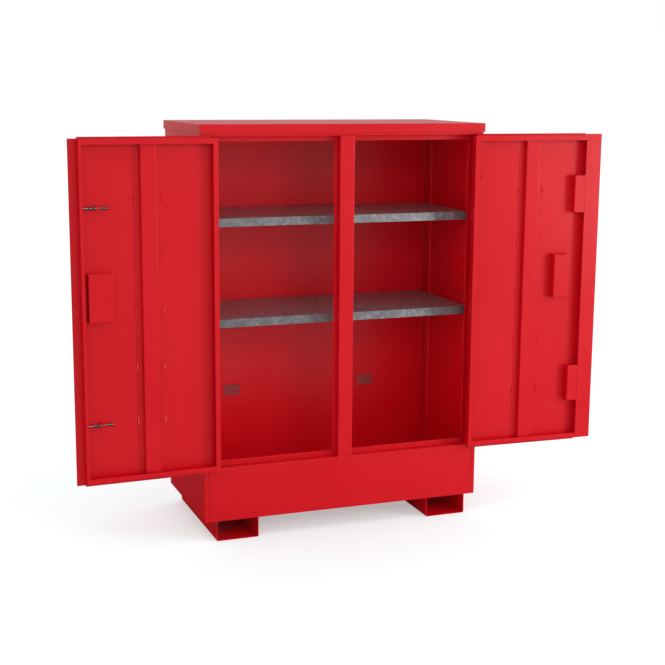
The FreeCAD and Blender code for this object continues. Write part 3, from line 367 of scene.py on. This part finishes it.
def foot_points(piece, side, every, rows):
    """Places up both long edges of a piece on a door's skin, evenly spaced around its middle."""
    low, high = corners_of(piece)
    pivot = abs(door_point(side, 0, 0, 0).x)
    near, far = sorted(abs(x) - pivot for x in (low.x, high.x))
    middle = (low.z + high.z) / 2 / MM
    return [door_point(side, foot, SKIN_INSIDE + WELD_RISE, middle + (i - (rows - 1) / 2) * every)
            for foot in (near / MM - WELD_LEAN, far / MM + WELD_LEAN) for i in range(rows)]


for side in ("left", "right"):
    feet = foot_points(side + "_door_stiffener", side, FOOT_WELD_EVERY, FOOT_WELD_ROWS)
    weld(side + "_stiffener_welds", feet, side + "_door", FOOT_WELD_LENGTH, FOOT_WELD_WIDTH,
         FOOT_WELD_RIPPLE, UP)
    edges = foot_points(side + "_pull_box", side, TACK_EVERY, TACK_ROWS)
    weld(side + "_pull_tacks", edges, side + "_door", TACK_LENGTH, TACK_WIDTH, TACK_RIPPLE, UP)

# Hinges: three steel butt hinges to a door, welded to the jamb, riveted through the skin and sprayed
# over with it. Only the pins are bright.
leaves = ["%s_%s_hinge_%s_leaf" % (side, level, part) for side in ("left", "right")
          for level in ("top", "middle", "bottom") for part in ("frame", "door")]
finish(leaves + ["left_door_rivets", "right_door_rivets"], powder_coat)
finish(["left_hinge_pins", "right_hinge_pins"], zinc_plate)

# Slide bolts: zinc-plated rods with a finger pin, which slide through welded and coated brackets on the
# left door into slots in the mullion.
finish(["upper_slide_bolt", "lower_slide_bolt"], zinc_plate)
finish(["upper_slide_bolt_bracket", "lower_slide_bolt_bracket"], powder_coat)

# Deadlocks: coated cases tacked inside the right door along their hinge-side edge, with zinc-plated bolts
# thrown by a cam on each key cylinder, whose barrel is nickel plated and shows through the door's skin.
NICKEL = "#cfc9bd"
NICKEL_ROUGHNESS = 0.24

# Nickel plate: a warm, smooth, hard plate over turned brass.
nickel, tree = new_finish("satin_nickel_plate")
barrel = add(tree, "ShaderNodeBsdfPrincipled", Base_Color=linear(NICKEL), Metallic=1.0,
             Roughness=NICKEL_ROUGHNESS)
add(tree, "ShaderNodeOutputMaterial", Surface=barrel.outputs["BSDF"])
finish(["upper_lock_case", "lower_lock_case"], powder_coat)
places = [place for case in ("upper_lock_case", "lower_lock_case")
          for place in foot_points(case, "right", TACK_EVERY, TACK_ROWS)]
hinge_edge = min(abs(place.x) for place in places)
tacks = [place for place in places if abs(place.x) < hinge_edge + MM]
weld("lock_case_tacks", tacks, "right_door", TACK_LENGTH, TACK_WIDTH, TACK_RIPPLE, UP)
finish(["upper_deadbolt", "lower_deadbolt"], zinc_plate)
finish(["upper_key_cylinder", "lower_key_cylinder"], nickel)

# Studio floor: a white sheet that runs out of sight. It shows as white where nothing shades it, keeps the
# cabinet's soft shadow, and is dark grey in reflections so that the coat low down stays deep.
FLOOR_HALF = 30
PAPER = "#dce8ea"
PAPER_GLOW = 0.40
PAPER_MIRRORED = "#3c3d3e"
paper, tree = new_finish("white_studio_paper")
rays = add(tree, "ShaderNodeLightPath")
tone = add(tree, "ShaderNodeMix", {"data_type": "RGBA"}, Factor=rays.outputs["Is Glossy Ray"],
           _6=linear(PAPER), _7=linear(PAPER_MIRRORED))
sheet = add(tree, "ShaderNodeBsdfDiffuse", Color=tone.outputs[2])
strength = add(tree, "ShaderNodeMath", {"operation": "MULTIPLY"}, _0=rays.outputs["Is Camera Ray"],
               _1=PAPER_GLOW)
glow = add(tree, "ShaderNodeEmission", Color=(1, 1, 1, 1), Strength=strength.outputs[0])
both = add(tree, "ShaderNodeAddShader", _0=sheet.outputs[0], _1=glow.outputs[0])
add(tree, "ShaderNodeOutputMaterial", Surface=both.outputs[0])
corners = [(-FLOOR_HALF, -FLOOR_HALF, 0), (FLOOR_HALF, -FLOOR_HALF, 0),
           (FLOOR_HALF, FLOOR_HALF, 0), (-FLOOR_HALF, FLOOR_HALF, 0)]
mesh = bpy.data.meshes.new("floor")
mesh.from_pydata(corners, [], [(0, 1, 2, 3)])
mesh.materials.append(paper)
floor = bpy.data.objects.new("floor", mesh)
bpy.context.scene.collection.objects.link(floor)

# Studio walls: pure white where the camera sees them, an even fill for the shadows, and in reflections
# nearly black in front of the cabinet and light grey behind it.
FILL = 0.88
DIM_WALL = 0.06
DIM_WALL_END = -0.3
WHITE_WALL = 0.55
WHITE_WALL_START = 0.35
world = bpy.data.worlds.new("studio")
world.use_nodes = True
bpy.context.scene.world = world
tree = world.node_tree
tree.nodes.clear()
facing = add(tree, "ShaderNodeTexCoord").outputs["Generated"]
parts = add(tree, "ShaderNodeSeparateXYZ", Vector=facing)
mirrored = add(tree, "ShaderNodeMapRange", Value=parts.outputs["Y"], _1=DIM_WALL_END,
               _2=WHITE_WALL_START, _3=DIM_WALL, _4=WHITE_WALL)
rays = add(tree, "ShaderNodeLightPath")
fill = add(tree, "ShaderNodeBackground", Color=(1, 1, 1, 1), Strength=FILL)
reflected = add(tree, "ShaderNodeBackground", Color=(1, 1, 1, 1), Strength=mirrored.outputs[0])
white = add(tree, "ShaderNodeBackground", Color=(1, 1, 1, 1), Strength=1.0)
glossy = add(tree, "ShaderNodeMixShader", _0=rays.outputs["Is Glossy Ray"], _1=fill.outputs[0],
             _2=reflected.outputs[0])
behind = add(tree, "ShaderNodeMixShader", _0=rays.outputs["Is Camera Ray"], _1=glossy.outputs[0],
             _2=white.outputs[0])
add(tree, "ShaderNodeOutputWorld", Surface=behind.outputs[0])

# Lamps: a large soft box to the front right, a weaker wide one above the camera, and a faint one in each
# bay for the light that the goods and the inside walls scatter. The bay lamps are not mirrored.
KEY_PLACE = (4.6, -4.0, 1.5)
KEY_TARGET = (0, 0, 0.85)
KEY_SIZE = (1.5, 2.2)
KEY_WATTS = 112
FRONT_PLACE = (-0.2, -6.0, 3.2)
FRONT_TARGET = (0, 0, 0.8)
FRONT_SIZE = (1.8, 0.5)
FRONT_WATTS = 28
BAY_MIDDLE = 0.27
BAY_FRONT = -0.25
BAY_HEIGHT = 0.95
BAY_SIZE = (0.46, 1.2)
BAY_WATTS = 1.0


def soft_box(name, at, towards, size, power, mirrored=True):
    """A rectangular lamp at a place, turned towards another."""
    light = bpy.data.lights.new(name, "AREA")
    light.shape = "RECTANGLE"
    light.size, light.size_y = size
    light.energy = power
    lamp = bpy.data.objects.new(name, light)
    direction = Vector(towards) - Vector(at)
    lamp.matrix_world = Matrix.Translation(at) @ direction.to_track_quat("-Z", "Y").to_matrix().to_4x4()
    lamp.visible_glossy = mirrored
    bpy.context.scene.collection.objects.link(lamp)


soft_box("key_soft_box", KEY_PLACE, KEY_TARGET, KEY_SIZE, KEY_WATTS)
soft_box("front_soft_box", FRONT_PLACE, FRONT_TARGET, FRONT_SIZE, FRONT_WATTS)
for side in (-1, 1):
    soft_box("bay_fill", (side * BAY_MIDDLE, BAY_FRONT, BAY_HEIGHT), (side * BAY_MIDDLE, 0, BAY_HEIGHT),
             BAY_SIZE, BAY_WATTS, mirrored=False)

# Camera: a long lens to the left of the cabinet and a little above its lid.
EYE = (-1.8901, -5.1309, 1.8055)
YAW, PITCH, ROLL = math.radians(20.702), math.radians(10.753), math.radians(-0.419)
FOCAL_PIXELS = 1313.0
PICTURE_PIXELS = 665
SENSOR_WIDTH = 36
ahead = Vector((math.sin(YAW) * math.cos(PITCH), math.cos(YAW) * math.cos(PITCH), -math.sin(PITCH)))
level = Vector((math.cos(YAW), -math.sin(YAW), 0))
below = ahead.cross(level)
right = level * math.cos(ROLL) + below * math.sin(ROLL)
down = below * math.cos(ROLL) - level * math.sin(ROLL)
camera_data = bpy.data.cameras.new("camera")
camera_data.sensor_width = SENSOR_WIDTH
camera_data.lens = FOCAL_PIXELS / PICTURE_PIXELS * SENSOR_WIDTH
camera = bpy.data.objects.new("camera", camera_data)
camera.matrix_world = Matrix.Translation(EYE) @ Matrix((right, -down, -ahead)).transposed().to_4x4()
bpy.context.scene.collection.objects.link(camera)
bpy.context.scene.camera = camera
bpy.context.scene.view_settings.view_transform = "Standard"
